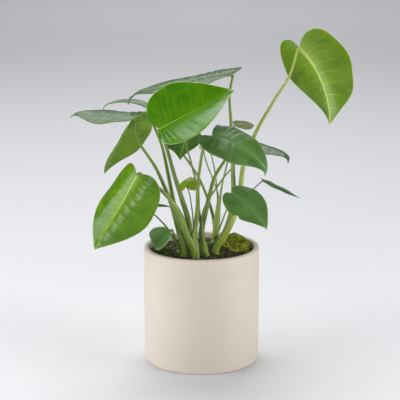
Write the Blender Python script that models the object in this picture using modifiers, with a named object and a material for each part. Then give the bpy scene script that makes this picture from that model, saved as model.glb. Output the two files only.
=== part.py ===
"""Young monstera with its stoneware pot, in metres, +Z up.

The origin is the centre of the pot's flat underside. -Y is the side that faces the viewer, and +X is
to the viewer's right. Lengths in the tables below are in millimetres and angles in degrees.
"""

import math

import bmesh
import bpy
from mathutils import Euler, Matrix, Vector, geometry, noise

MM = 0.001

# Pot: a straight cylinder with a rounded rim and a flat underside
POT_RADIUS = 75 * MM
POT_HEIGHT = 151 * MM
POT_WALL = 7 * MM
POT_FLOOR = 9 * MM
RIM_ROUNDING = 3 * MM
FOOT_ROUNDING = 2 * MM
POT_STEPS = 48

# Potting soil, filled to a little under the rim
SOIL_TOP = 142 * MM
SOIL_RINGS = 8
SOIL_STEPS = 36
SOIL_MOUND = 1.5 * MM
CRUMB_HEIGHT = 1.3 * MM
CRUMB_SIZE = 13 * MM

# Every pair of touching pieces keeps this clearance
GAP = 0.3 * MM

# Shoots: crowns that stand in plain holes in the soil
CROWN_DEPTH = 14 * MM
CROWN_CLEARANCE = 0.2 * MM
HOLE_SIDES = 16
HOLE_ABOVE = 10 * MM  # how far the cutter of a hole reaches above the soil
CROWN_SHAPE = [(-1.0, 0.8), (-0.35, 1.0), (0.15, 0.85), (0.43, 0.4)]  # (height, radius), as parts
PETIOLE_POINT_SPACING = 14 * MM
STALK_TOP = 7.5 * MM  # length of the swollen top of a petiole that stays with its blade
STALK_GAP = 0.5 * MM
PETIOLE_END = 3 * MM  # the last, short stretch of a petiole, which squares its end with the stalk's
STALK_SQUARE = 1.5 * MM  # its short first stretch, which squares its end with the petiole's
STALK_GRIP = 0.13  # how far along the midrib it runs, as a part of the blade's length
STALK_SWELL = (1.0, 1.1, 1.25, 1.25, 1.1, 0.8, 0.45)  # its radius, as parts of the petiole's
STALK_DEPTHS = (1.15, 0.5)  # how deep its middle lies under the blade, at its start and its end there
PETIOLE_TAPER = 1.4  # over 1, the petiole thins fastest near its foot
SHEATH_SHAPE = [(0, 1.0), (0.3, 1.0), (0.6, 0.75), (1, 0.25)]  # (length, radius), as parts

# Blades
BLADE_THICKNESS = 0.8 * MM
MIDRIB_THICKNESS = 2.0 * MM
TIP_WIDTH = 0.012
RIB_STEPS = 24
PUCKER = 0.5 * MM  # how far the blade swells between its side veins, which lie on every other row
WAVE = 1.1 * MM  # how far the margin waves up and down
WAVES = 2.3
LARGE_HALF_WIDTH = 30 * MM  # a narrower blade than this swells and waves less

# Colours read off the plant, as sRGB
BRIGHT_GREEN = "#4f8a14"
DARK_GREEN = "#3c6638"
YELLOW_GREEN = "#7c9a3c"
STEM_GREEN = "#7a9448"
STONEWARE = "#d9cdbf"
SOIL_BROWN = "#2a211b"
MOSS_YELLOW = "#8b8f2c"
MOSS_GREEN = "#3f4f22"

# One entry per blade. base is the point where the petiole meets the blade, head and pitch give the
# direction of the midrib there, and roll turns the blade about it. length and width are the size of
# the blade. fold is the slope of each half at the midrib, and curl is how far it turns down from there
# to the margin. arch, tip, twist and skew bend the midrib along its length, tip only in its last fifth.
# lobe is how far the heart's lobes reach behind the base, lean lengthens the left one and shortens the
# right one by the same part, and inner, full and drip shape the outline.
# dents are small changes of the outline: (side, place along, spread, part of the half width).
LEAVES = {
    "leaf_centre": dict(
        shoot="shoot_front", colour=BRIGHT_GREEN, base=(-52, -44, 312), head=11, pitch=27, roll=54,
        length=107, width=88, fold=29, curl=6, arch=11, tip=20, twist=-9, skew=3,
        lobe=0.06, inner=0.40, full=0.31, drip=0.02, rows=12, columns=8,
    ),
    "leaf_top_back": dict(
        shoot="shoot_right", colour=DARK_GREEN, base=(37, 29, 372), head=166, pitch=-12, roll=-2,
        length=151, width=111, fold=8, curl=21, arch=5, tip=70, twist=-3, skew=-3,
        lobe=0.08, inner=0.26, full=0.38, drip=0.32, rows=14, columns=8,
    ),
    "leaf_left_back": dict(
        shoot="shoot_front_left", colour=DARK_GREEN, base=(-71, 26, 321), head=169, pitch=-6, roll=4,
        length=106, width=80, fold=1, curl=17, arch=-8, tip=58, twist=-14, skew=-8,
        lobe=0.07, inner=0.32, full=0.42, drip=0.24, rows=12, columns=6,
    ),
    "leaf_left_hanging": dict(
        shoot="shoot_front_left", colour=YELLOW_GREEN, base=(-87, -30, 320), head=147, pitch=-55, roll=3,
        length=85, width=68, fold=-19, curl=16, arch=5, tip=24, twist=3, skew=1,
        lobe=0.18, inner=0.36, full=0.40, drip=0.37, rows=10, columns=8,
    ),
    "leaf_right_centre": dict(
        shoot="shoot_front", colour=DARK_GREEN, base=(13, -33, 302), head=-14, pitch=-6, roll=21,
        length=91, width=75, fold=11, curl=37, arch=59, tip=50, twist=5, skew=-7,
        lobe=0.10, lean=-0.8, inner=0.20, full=0.42, drip=0.29, rows=12, columns=8,
        dents=[(1, 0.0, 0.10, 1.3)],
    ),
    "leaf_far_left": dict(
        shoot="shoot_back", colour=DARK_GREEN, base=(-66, 86, 314), head=168, pitch=31, roll=7,
        length=74, width=36, fold=11, curl=4, arch=59, tip=69, twist=-5, skew=0,
        lobe=0.16, inner=0.42, full=0.39, drip=0.38, rows=10, columns=4,
    ),
    "leaf_top_right": dict(
        shoot="shoot_right", colour=YELLOW_GREEN, base=(123, 1, 407), head=32, pitch=-40, roll=-29,
        length=113, width=103, fold=60, curl=92, arch=55, tip=20, twist=-23, skew=13,
        lobe=0.08, inner=0.46, full=0.34, drip=-0.08, rows=12, columns=8,
        dents=[(-1, 0.82, 0.10, 0.20)],
    ),
    "leaf_lower_right": dict(
        shoot="shoot_right", colour=DARK_GREEN, base=(40, -54, 232), head=-39, pitch=-21, roll=23,
        length=64, width=52, fold=8, curl=24, arch=32, tip=20, twist=4, skew=-7,
        lobe=0.13, inner=0.24, full=0.43, drip=0.28, rows=10, columns=6,
        dents=[(-1, 0.61, 0.04, -0.14)],
    ),
    "leaf_lower_left": dict(
        shoot="shoot_front", colour=BRIGHT_GREEN, base=(-81, -58, 256), head=-174, pitch=-62, roll=-47,
        length=108, width=90, fold=-5, curl=52, arch=-2, tip=3, twist=-20, skew=-3,
        lobe=0.08, inner=0.39, full=0.42, drip=0.08, rows=12, columns=8,
    ),
    "leaf_rim_left": dict(
        shoot="shoot_left", colour=DARK_GREEN, base=(-40, -51, 183), head=130, pitch=-36, roll=-101,
        length=47, width=38, fold=50, curl=10, arch=4, tip=18, twist=14, skew=14,
        lobe=0.09, inner=0.36, full=0.37, drip=0.23, rows=8, columns=6,
    ),
    "leaf_under_centre": dict(
        shoot="shoot_front_right", colour=DARK_GREEN, base=(-20, 15, 293), head=100, pitch=-35, roll=-5,
        length=60, width=47, fold=13, curl=20, arch=13, tip=25, twist=7, skew=3,
        lobe=0.11, inner=0.41, full=0.45, drip=0.60, rows=8, columns=6,
    ),
    "leaf_small_middle": dict(
        shoot="shoot_front", colour=YELLOW_GREEN, base=(-19, 20, 227), head=84, pitch=40, roll=-8,
        length=32, width=36, fold=-24, curl=12, arch=70, tip=15, twist=0, skew=-6,
        lobe=0.22, inner=0.40, full=0.40, drip=0.30, rows=6, columns=4,
    ),
    "leaf_right_back": dict(
        shoot="shoot_front_right", colour=DARK_GREEN, base=(51, 56, 278), head=-28, pitch=-3, roll=-1,
        length=80, width=64, fold=0, curl=21, arch=19, tip=104, twist=-1, skew=-4,
        lobe=0.18, inner=0.42, full=0.40, drip=0.36, rows=10, columns=6,
    ),
    "leaf_small_right": dict(
        shoot="shoot_back", colour=YELLOW_GREEN, base=(45, 61, 300), head=-38, pitch=11, roll=-38,
        length=37, width=22, fold=-2, curl=23, arch=23, tip=17, twist=-9, skew=-10,
        lobe=0.08, inner=0.37, full=0.45, drip=0.29, rows=6, columns=4,
    ),
    "leaf_thin_right": dict(
        shoot="shoot_back", colour=DARK_GREEN, base=(82, 42, 228), head=5, pitch=-23, roll=1,
        length=55, width=30, fold=-2, curl=5, arch=10, tip=-11, twist=4, skew=2,
        lobe=0.06, inner=0.41, full=0.41, drip=0.33, rows=8, columns=4,
    ),
    "leaf_behind_left": dict(
        shoot="shoot_left", colour=DARK_GREEN, base=(-68, -20, 207), head=10, pitch=6, roll=-25,
        length=28, width=20, fold=12, curl=15, arch=15, tip=20, twist=0, skew=0,
        lobe=0.10, inner=0.40, full=0.40, drip=0.30, rows=6, columns=4,
    ),
    "leaf_behind_right": dict(
        shoot="shoot_front_right", colour=DARK_GREEN, base=(52, 20, 268), head=40, pitch=12, roll=8,
        length=38, width=26, fold=14, curl=18, arch=32, tip=25, twist=0, skew=4,
        lobe=0.12, inner=0.40, full=0.40, drip=0.30, rows=6, columns=4,
    ),
    "leaf_behind_centre": dict(
        shoot="shoot_back", colour=DARK_GREEN, base=(9, 41, 278), head=62, pitch=14, roll=-6,
        length=34, width=24, fold=14, curl=18, arch=30, tip=25, twist=0, skew=-4,
        lobe=0.12, inner=0.40, full=0.40, drip=0.30, rows=6, columns=4,
    ),
    "leaf_behind_middle": dict(
        shoot="shoot_back", colour=YELLOW_GREEN, base=(3, 58, 267), head=42, pitch=16, roll=10,
        length=30, width=21, fold=14, curl=18, arch=30, tip=25, twist=0, skew=4,
        lobe=0.12, inner=0.40, full=0.40, drip=0.30, rows=6, columns=4,
    ),
}

# Each petiole's way from its crown to its blade, foot to top, and its radius at the foot and the top
PETIOLES = {
    "leaf_centre": ([(-9, -30, 152), (-14, -31, 166), (-16, -31, 189), (-25, -29, 220), (-35, -24, 251),
                     (-44, -15, 282), (-50, -22, 301)], 5.0, 1.9),
    "leaf_top_back": ([(19, -14, 151), (25, -13, 161), (34, -9, 180), (40, -4, 205), (41, 0, 226),
                       (40, 6, 256), (38, 16, 305), (36, 24, 345)], 4.6, 1.6),
    "leaf_left_back": ([(-21, -26, 152), (-27, -20, 170), (-34, -9, 201), (-43, 6, 243), (-52, 20, 280)],
                       4.2, 1.6),
    "leaf_left_hanging": ([(-21, -28, 152), (-30, -29, 181), (-40, -30, 218), (-56, -31, 257),
                           (-67, -31, 275), (-77, -31, 290), (-84, -31, 306)], 4.2, 1.6),
    "leaf_right_centre": ([(-7, -31, 152), (-9, -31, 171), (-7, -32, 191), (-5, -32, 212), (-5, -32, 237),
                           (-2, -33, 263), (2, -33, 285)], 4.6, 1.6),
    "leaf_far_left": ([(17, 43, 152), (17, 45, 165), (14, 49, 182), (6, 54, 206), (-6, 62, 231),
                       (-25, 73, 257), (-45, 81, 287)], 2.4, 1.1),
    "leaf_top_right": ([(19, -15, 151), (25, -16, 161), (36, -14, 180), (46, -10, 205), (50, -5, 229),
                        (54, 0, 258), (68, 4, 296), (92, 4, 340), (112, 2, 374)], 4.8, 1.5),
    "leaf_lower_right": ([(18, -17, 151), (22, -22, 159), (31, -31, 177), (41, -42, 203)], 2.8, 1.4),
    "leaf_lower_left": ([(-9, -33, 152), (-18, -39, 175), (-26, -45, 201), (-38, -50, 222),
                         (-52, -54, 238)], 5.2, 2.1),
    "leaf_rim_left": ([(-29, -10, 150), (-32, -25, 162)], 2.0, 1.2),
    "leaf_under_centre": ([(3, -22, 152), (-1, -10, 180), (-4, -4, 205), (-8, 2, 237), (-14, 6, 261),
                           (-19, 10, 279)], 2.4, 1.0),
    "leaf_small_middle": ([(-7, -29, 152), (-10, -14, 174), (-12, 0, 195), (-15, 12, 213)], 1.2, 0.8),
    "leaf_right_back": ([(4, -22, 152), (0, -10, 169), (5, 6, 192), (11, 19, 215), (17, 31, 234),
                         (29, 41, 252)], 4.6, 1.7),
    "leaf_small_right": ([(18, 43, 152), (23, 45, 170), (24, 48, 190), (27, 51, 218), (34, 55, 248),
                          (41, 59, 280)], 1.8, 0.9),
    "leaf_thin_right": ([(18, 42, 151), (22, 42, 158), (27, 42, 171), (35, 42, 190), (51, 42, 204),
                         (68, 42, 216)], 1.6, 0.8),
    "leaf_behind_left": ([(-29, -8, 150), (-34, -11, 159), (-43, -14, 176), (-57, -18, 193)], 1.7, 1.0),
    "leaf_behind_right": ([(4, -24, 152), (0, -12, 184), (3, -6, 200), (12, 1, 216), (30, 11, 240),
                           (40, 14, 251)], 1.6, 1.0),
    "leaf_behind_centre": ([(17, 42, 152), (21, 44, 181), (20, 42, 221), (15, 41, 253)], 1.5, 0.8),
    "leaf_behind_middle": ([(18, 43, 152), (21, 47, 175), (22, 52, 206), (16, 54, 224), (7, 57, 247)],
                           1.5, 0.8),
}

# Where each shoot's crown stands in the soil, its radius, and the short bare sheaths beside its petioles
SHOOTS = {
    "shoot_front": dict(foot=(-7, -31), radius=7.2, sheaths=[((-10, -33, 150), (-11, -35, 178), 3.4)]),
    "shoot_front_left": dict(foot=(-22, -26), radius=6.2, sheaths=[((-22, -28, 150), (-25, -29, 180), 3.0)]),
    "shoot_front_right": dict(foot=(6, -22), radius=6.0, sheaths=[((4, -25, 148), (4, -29, 164), 3.0)]),
    "shoot_right": dict(foot=(18, -14), radius=5.8, sheaths=[((19, -14, 148), (32, -11, 176), 3.6)]),
    "shoot_back": dict(foot=(17, 42), radius=6.4, sheaths=[((18, 42, 150), (23, 46, 206), 4.4)]),
    "shoot_left": dict(foot=(-29, -7), radius=4.4, sheaths=[]),
}

# Moss cushions in shallow pockets in the soil: centre, half lengths, the turn of the long one, and height
MOSS = {
    "moss_right": dict(colour=MOSS_YELLOW, centre=(45, 18), half=(16, 28), turn=20, height=17, seed=3),
    "moss_left": dict(colour=MOSS_GREEN, centre=(-48, -5), half=(10, 25), turn=6, height=4, seed=8),
}
MOSS_DEPTH = 4 * MM
MOSS_FULLNESS = 0.8  # under 1, the dome is fuller than an ellipsoid
MOSS_SIDES = 24
MOSS_RINGS = 12


def in_metres(point):
    return Vector(point) * MM


def linear_colour(hex_colour):
    """The linear colour of an sRGB one."""
    channels = [int(hex_colour[i : i + 2], 16) / 255 for i in (1, 3, 5)]
    linear = [c / 12.92 if c <= 0.04045 else ((c + 0.055) / 1.055) ** 2.4 for c in channels]
    return (*linear, 1.0)


def make_material(name, hex_colour, roughness):
    material = bpy.data.materials.new(name)
    material.use_nodes = True
    shader = material.node_tree.nodes["Principled BSDF"]
    shader.inputs["Base Color"].default_value = linear_colour(hex_colour)
    shader.inputs["Roughness"].default_value = roughness
    shader.inputs["Metallic"].default_value = 0.0
    return material


def clear_scene():
    for obj in list(bpy.data.objects):
        bpy.data.objects.remove(obj, do_unlink=True)


def new_collection(name, hidden=False):
    collection = bpy.data.collections.new(name)
    bpy.context.scene.collection.children.link(collection)
    collection.hide_render = hidden
    return collection


def add_object(name, data, collection, material=None):
    obj = bpy.data.objects.new(name, data)
    collection.objects.link(obj)
    if material:
        data.materials.append(material)
    return obj


def evaluated_mesh(obj):
    """The object's mesh with its modifiers applied, its caps welded to its sides."""
    bpy.context.view_layer.update()
    graph = bpy.context.evaluated_depsgraph_get()
    mesh = bpy.data.meshes.new_from_object(obj.evaluated_get(graph))
    bm = bmesh.new()
    bm.from_mesh(mesh)
    bmesh.ops.remove_doubles(bm, verts=bm.verts, dist=0.01 * MM)
    bm.to_mesh(mesh)
    bm.free()
    return mesh


def turned(name, profile, steps, collection, material):
    """A solid turned about Z from (radius, height) points that run down its outer side."""
    mesh = bpy.data.meshes.new(name)
    edges = [(i, i + 1) for i in range(len(profile) - 1)]
    mesh.from_pydata([(radius, 0, height) for radius, height in profile], edges, [])
    obj = add_object(name, mesh, collection, material)
    screw = obj.modifiers.new("Turn", "SCREW")
    screw.steps = screw.render_steps = steps
    screw.use_merge_vertices = True
    screw.merge_threshold = 0.00001
    return obj


def arc(centre, radius, start, end, steps):
    """(radius, height) points of an arc, with its angles in degrees from +X."""
    angles = [math.radians(start + (end - start) * i / steps) for i in range(steps + 1)]
    return [(centre[0] + radius * math.cos(a), centre[1] + radius * math.sin(a)) for a in angles]


def build_pot(collection):
    inside = POT_RADIUS - POT_WALL
    rim = POT_HEIGHT - RIM_ROUNDING
    profile = [(0, POT_FLOOR), (inside, POT_FLOOR)]
    profile += arc((inside + RIM_ROUNDING, rim), RIM_ROUNDING, 180, 90, 4)
    profile += arc((POT_RADIUS - RIM_ROUNDING, rim), RIM_ROUNDING, 90, 0, 4)
    profile += arc((POT_RADIUS - FOOT_ROUNDING, FOOT_ROUNDING), FOOT_ROUNDING, 0, -90, 3)
    profile += [(0, 0)]
    pot = turned("pot", profile, POT_STEPS, collection, make_material("stoneware", STONEWARE, 0.6))
    pot.data.shade_smooth()
    return pot


def difference(obj, cutter):
    cut = obj.modifiers.new(cutter.name, "BOOLEAN")
    cut.operation = "DIFFERENCE"
    cut.solver = "EXACT"
    cut.object = cutter


def build_soil(collection, cutters):
    """A filled disc of soil with a lumpy top, and a hole or pocket for each thing that stands in it."""
    radius = POT_RADIUS - POT_WALL - GAP
    bottom = POT_FLOOR + GAP
    profile = [(radius * i / SOIL_RINGS, SOIL_TOP) for i in range(SOIL_RINGS + 1)]
    profile += [(radius, bottom), (0, bottom)]
    soil = turned("soil", profile, SOIL_STEPS, collection, make_material("soil", SOIL_BROWN, 0.95))
    soil.data = evaluated_mesh(soil)
    soil.modifiers.clear()
    for vertex in soil.data.vertices:
        if vertex.co.z > SOIL_TOP - GAP:
            flat = Vector((vertex.co.x, vertex.co.y, 0))
            mound = SOIL_MOUND * math.cos(math.pi / 2 * flat.length / radius)
            vertex.co.z += mound + CRUMB_HEIGHT * noise.noise(flat / CRUMB_SIZE)
    for cutter in cutters:
        difference(soil, cutter)
    return soil


def moss_mesh(name, moss, clearance):
    """A cushion with a lumpy dome above the soil and a flat foot below it."""
    half_x, half_y = (half * MM + clearance for half in moss["half"])
    height = moss["height"] * MM
    turn = Matrix.Rotation(math.radians(moss["turn"]), 3, "Z")
    centre = Vector((moss["centre"][0] * MM, moss["centre"][1] * MM, SOIL_TOP))
    bm = bmesh.new()
    bmesh.ops.create_uvsphere(bm, u_segments=MOSS_SIDES, v_segments=MOSS_RINGS, radius=1)
    for vertex in bm.verts:
        x, y, z = vertex.co
        angle = math.atan2(y, x)
        uneven = 1 + 0.06 * math.sin(3 * angle + moss["seed"]) + 0.04 * math.sin(5 * angle)
        if z > 0:
            lump = 1 + 0.22 * noise.noise(Vector((2.2 * x, 2.2 * y, moss["seed"])))
            rise = height * z**MOSS_FULLNESS * lump
        else:
            rise = -(MOSS_DEPTH + clearance) * min(1, -4 * z)
        vertex.co = centre + turn @ Vector((half_x * x * uneven, half_y * y * uneven, rise))
    mesh = bpy.data.meshes.new(name)
    bm.to_mesh(mesh)
    bm.free()
    return mesh


def smooth_path(points, spacing=1.5 * MM):
    """Points every spacing or so along a smooth curve through the given ones."""
    path = [points[0]]
    for i in range(len(points) - 1):
        start, end = points[i], points[i + 1]
        before = points[max(i - 1, 0)]
        after = points[min(i + 2, len(points) - 1)]
        reach = (end - start).length / 3
        leave = (end - before).normalized() * reach
        arrive = (after - start).normalized() * reach
        count = max(3, round(reach * 3 / spacing))
        path += geometry.interpolate_bezier(start, start + leave, end - arrive, end, count)[1:]
    return path


def lengths_along(path):
    total = [0.0]
    for i in range(1, len(path)):
        total.append(total[-1] + (path[i] - path[i - 1]).length)
    return total


def point_at(path, lengths, distance):
    for i in range(1, len(path)):
        if lengths[i] >= distance:
            part = (distance - lengths[i - 1]) / max(lengths[i] - lengths[i - 1], 1e-9)
            return path[i - 1].lerp(path[i], part)
    return path[-1].copy()


def stretch_of(path, start, end, count):
    """count + 1 points at even distances along the path, from start to end."""
    lengths = lengths_along(path)
    return [point_at(path, lengths, start + (end - start) * i / count) for i in range(count + 1)]


def tube(name, points, radii, collection, resolution=2):
    """A closed tube, as a mesh, through the points with a radius at each."""
    curve = bpy.data.curves.new(name, "CURVE")
    curve.dimensions = "3D"
    curve.bevel_depth = 1.0
    curve.bevel_resolution = resolution
    curve.use_fill_caps = True
    spline = curve.splines.new("POLY")
    spline.points.add(len(points) - 1)
    for point, place, radius in zip(spline.points, points, radii):
        point.co = (*place, 1)
        point.radius = radius
    guide = add_object(name + "_curve", curve, collection)
    mesh = evaluated_mesh(guide)
    mesh.name = name
    bpy.data.objects.remove(guide, do_unlink=True)
    bpy.data.curves.remove(curve)
    return add_object(name, mesh, collection)


def fuse(obj, pieces):
    """Joins the pieces of a collection to the object in one solid, and removes them."""
    union = obj.modifiers.new("Fuse", "BOOLEAN")
    union.operation = "UNION"
    union.solver = "EXACT"
    union.operand_type = "COLLECTION"
    union.collection = pieces
    mesh = evaluated_mesh(obj)
    obj.modifiers.clear()
    obj.data = mesh
    for piece in list(pieces.objects):
        bpy.data.objects.remove(piece, do_unlink=True)


def half_width(x, leaf):
    """The blade's half width at x, from 0 at the rear of its lobes to 1 at its tip, as a part of its
    widest."""
    full = leaf["full"]
    if x < full:
        rise = 1 - (1 - x / full) ** 2.2
        return leaf["inner"] + (1 - leaf["inner"]) * math.sqrt(max(rise, 0))
    t = (x - full) / (1 - full)
    fall = max(math.cos(t * math.pi / 2), 0) ** 1.1 * (1 - leaf["drip"] * t * t * math.sin(math.pi * t))
    return fall * (1 - TIP_WIDTH) + TIP_WIDTH


def flat_point(leaf, along, out, side):
    """Where a point of one half lies on the flat blade: (part of the length, part of the half width).
    along runs from 0 at the notch between the lobes to 1 at the tip, out from 0 at the midrib to 1 at
    the margin."""
    x = along**1.35
    lobe = leaf["lobe"] * (1 + leaf.get("lean", 0) * side)
    margin_x = -lobe + (1 + lobe) * x
    rib_x = along**2.1
    near_base = min(max(1 - along / 0.35, 0), 1)
    sweep = out**1.25 + (1 - (1 - out) ** 2 - out**1.25) * near_base
    width = half_width(x, leaf)
    for dent_side, place, spread, amount in leaf.get("dents", []):
        if dent_side == side:
            width *= 1 + amount * math.exp(-(((along - place) / spread) ** 2))
    return rib_x + (margin_x - rib_x) * sweep, width * out


def rib_turn(leaf, x):
    """How the midrib is turned at x, as a rotation of (along, left, up)."""
    bend = math.radians(leaf["arch"] * x + leaf["tip"] * min(max((x - 0.8) / 0.2, 0), 1) ** 2)
    skew = math.radians(leaf["skew"] * x)
    twist = math.radians(leaf["twist"] * x)
    turn = Matrix.Rotation(bend, 3, "Y") @ Matrix.Rotation(skew, 3, "Z")
    return turn @ Matrix.Rotation(twist, 3, "X")


def rib_line(leaf):
    """Points down the midrib, in the blade's own axes: +X along, +Y left, +Z up."""
    step = leaf["length"] * MM / RIB_STEPS
    line = [Vector((0, 0, 0))]
    for i in range(RIB_STEPS):
        line.append(line[-1] + rib_turn(leaf, (i + 0.5) / RIB_STEPS).col[0] * step)
    return line


def rib_point(line, x):
    place = min(max(x, 0), 1) * RIB_STEPS
    i = min(int(place), RIB_STEPS - 1)
    return line[i].lerp(line[i + 1], place - i)


def blade_point(leaf, line, along, across):
    """A point of the blade's upper face in its own axes, across from -1 at the right margin to 1 at the
    left one."""
    out = abs(across)
    side = math.copysign(1, across)
    u, v = flat_point(leaf, along, out, side)
    half = leaf["width"] * MM / 2
    slope = math.radians(leaf["fold"])
    bend = math.radians(leaf["curl"]) / half
    reach = v * half
    sideways = (math.sin(slope) - math.sin(slope - bend * reach)) / bend
    upward = (math.cos(slope - bend * reach) - math.cos(slope)) / bend
    size = min(half / LARGE_HALF_WIDTH, 1)
    upward -= PUCKER * size * math.cos(math.pi * leaf["rows"] * along) * 4 * out * (1 - out)
    phase = leaf["base"][0] / 10 + 0.25 * side
    upward += WAVE * size * math.sin(2 * math.pi * (WAVES * along + phase)) * v * v
    turn = rib_turn(leaf, min(max(u, 0), 1))
    behind = min(u, 0) * leaf["length"] * MM
    return rib_point(line, u) + Vector((behind, 0, 0)) + turn @ Vector((0, side * sideways, upward))


def blade_placement(leaf):
    turn = (math.radians(leaf["roll"]), math.radians(-leaf["pitch"]), math.radians(leaf["head"]))
    return in_metres(leaf["base"]), turn


def build_blade(name, leaf, collection):
    """The blade as a sheet with a thicker midrib under it."""
    line = rib_line(leaf)
    rows, columns = leaf["rows"], leaf["columns"]
    bm = bmesh.new()
    bmesh.ops.create_grid(bm, x_segments=rows, y_segments=columns, size=1)
    on_rib = []
    for vertex in bm.verts:
        along, across = (vertex.co.x + 1) / 2, vertex.co.y
        on_rib.append((abs(across) < 0.01, along))
        vertex.co = blade_point(leaf, line, along, across)
    bmesh.ops.triangulate(bm, faces=bm.faces, quad_method="SHORT_EDGE")
    mesh = bpy.data.meshes.new(name)
    bm.to_mesh(mesh)
    bm.free()
    blade = add_object(name, mesh, collection, make_material(name, leaf["colour"], 0.35))
    blade.location, blade.rotation_euler = blade_placement(leaf)
    thick = blade.vertex_groups.new(name="thickness")
    thin = BLADE_THICKNESS / MIDRIB_THICKNESS
    for i, (rib, along) in enumerate(on_rib):
        thick.add([i], thin + (1 - thin) * (1 - along) if rib else thin, "REPLACE")
    solidify = blade.modifiers.new("Thickness", "SOLIDIFY")
    solidify.thickness = MIDRIB_THICKNESS
    solidify.offset = -1
    solidify.vertex_group = "thickness"
    return blade


def petiole_path(name):
    """The smooth way from the crown to the underside of the midrib, and its length up to the blade."""
    leaf = LEAVES[name]
    way, _, top_radius = PETIOLES[name]
    foot_x, foot_y = SHOOTS[leaf["shoot"]]["foot"]
    location, turn = blade_placement(leaf)
    place = Matrix.LocRotScale(location, Euler(turn), None)
    line = rib_line(leaf)
    depths = [BLADE_THICKNESS / 2 + top_radius * MM * part for part in STALK_DEPTHS]
    points = [Vector((foot_x * MM, foot_y * MM, SOIL_TOP - CROWN_DEPTH / 2))]
    points += [in_metres(point) for point in way]
    for on_rib, depth in zip((line[0], rib_point(line, STALK_GRIP)), depths):
        points.append(place @ (on_rib - Vector((0, 0, depth))))
    path = smooth_path(points)
    nearest = min(range(len(path)), key=lambda i: (path[i] - points[-2]).length)
    return path, lengths_along(path), nearest


def build_leaf(name, collection, scratch):
    leaf = LEAVES[name]
    blade = build_blade(name, leaf, collection)
    path, lengths, joint = petiole_path(name)
    top_radius = PETIOLES[name][2] * MM
    start = lengths[joint] - STALK_TOP
    points = [point_at(path, lengths, start)]
    points += stretch_of(path, start + STALK_SQUARE, lengths[joint], 3)
    points += stretch_of(path, lengths[joint], lengths[-1], 2)[1:]
    tube(name + "_stalk", points, [top_radius * swell for swell in STALK_SWELL], scratch)
    fuse(blade, scratch)
    return blade


def build_shoot(name, collection, scratch):
    """A crown in the soil with its petioles, each thick and sheathed at the foot."""
    shoot = SHOOTS[name]
    foot = Vector((shoot["foot"][0] * MM, shoot["foot"][1] * MM, 0))
    radius = shoot["radius"] * MM
    points = [foot + Vector((0, 0, SOIL_TOP + CROWN_DEPTH * height)) for height, _ in CROWN_SHAPE]
    crown = tube(name, points, [radius * width for _, width in CROWN_SHAPE], collection)
    crown.data.materials.append(make_material(name, STEM_GREEN, 0.45))
    for leaf_name, leaf in LEAVES.items():
        if leaf["shoot"] != name:
            continue
        foot_radius, top_radius = (r * MM for r in PETIOLES[leaf_name][1:])
        path, lengths, joint = petiole_path(leaf_name)
        end = lengths[joint] - STALK_TOP - STALK_GAP
        count = max(5, round(end / PETIOLE_POINT_SPACING))
        points = stretch_of(path, 0, end - PETIOLE_END, count) + [point_at(path, lengths, end)]
        swell = [(1 - i / count) ** PETIOLE_TAPER for i in range(count + 1)]
        radii = [top_radius + (foot_radius - top_radius) * part for part in swell]
        tube(leaf_name + "_petiole", points, radii + [top_radius], scratch)
    for i, (start, end, sheath_radius) in enumerate(shoot["sheaths"]):
        points = [in_metres(start).lerp(in_metres(end), part) for part, _ in SHEATH_SHAPE]
        radii = [sheath_radius * MM * part for _, part in SHEATH_SHAPE]
        tube(f"{name}_sheath_{i}", points, radii, scratch)
    fuse(crown, scratch)
    return crown


def crown_hole(name, collection):
    shoot = SHOOTS[name]
    depth = CROWN_DEPTH + GAP
    radius = shoot["radius"] * MM + GAP + CROWN_CLEARANCE
    bm = bmesh.new()
    bmesh.ops.create_cone(
        bm, cap_ends=True, segments=HOLE_SIDES, radius1=radius, radius2=radius, depth=depth + HOLE_ABOVE
    )
    mesh = bpy.data.meshes.new(name + "_hole")
    bm.to_mesh(mesh)
    bm.free()
    hole = add_object(name + "_hole", mesh, collection)
    hole.location = (shoot["foot"][0] * MM, shoot["foot"][1] * MM, SOIL_TOP + (HOLE_ABOVE - depth) / 2)
    return hole


def main():
    clear_scene()
    plant = new_collection("potted_monstera")
    cutters = new_collection("cutters", hidden=True)
    scratch = new_collection("scratch")
    build_pot(plant)
    holes = [crown_hole(name, cutters) for name in SHOOTS]
    for name, moss in MOSS.items():
        add_object(name, moss_mesh(name, moss, 0), plant, make_material(name, moss["colour"], 0.9))
        holes.append(add_object(name + "_pocket", moss_mesh(name, moss, GAP), cutters))
    for hole in holes:
        hole.hide_render = True
        hole.display_type = "WIRE"
    build_soil(plant, holes)
    for name in SHOOTS:
        build_shoot(name, plant, scratch)
    for name in LEAVES:
        build_leaf(name, plant, scratch)
    bpy.data.collections.remove(scratch)


main()
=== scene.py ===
import math
import random
from functools import partial

import bmesh
import bpy
from mathutils import Euler, Matrix, Vector, geometry, noise


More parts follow.
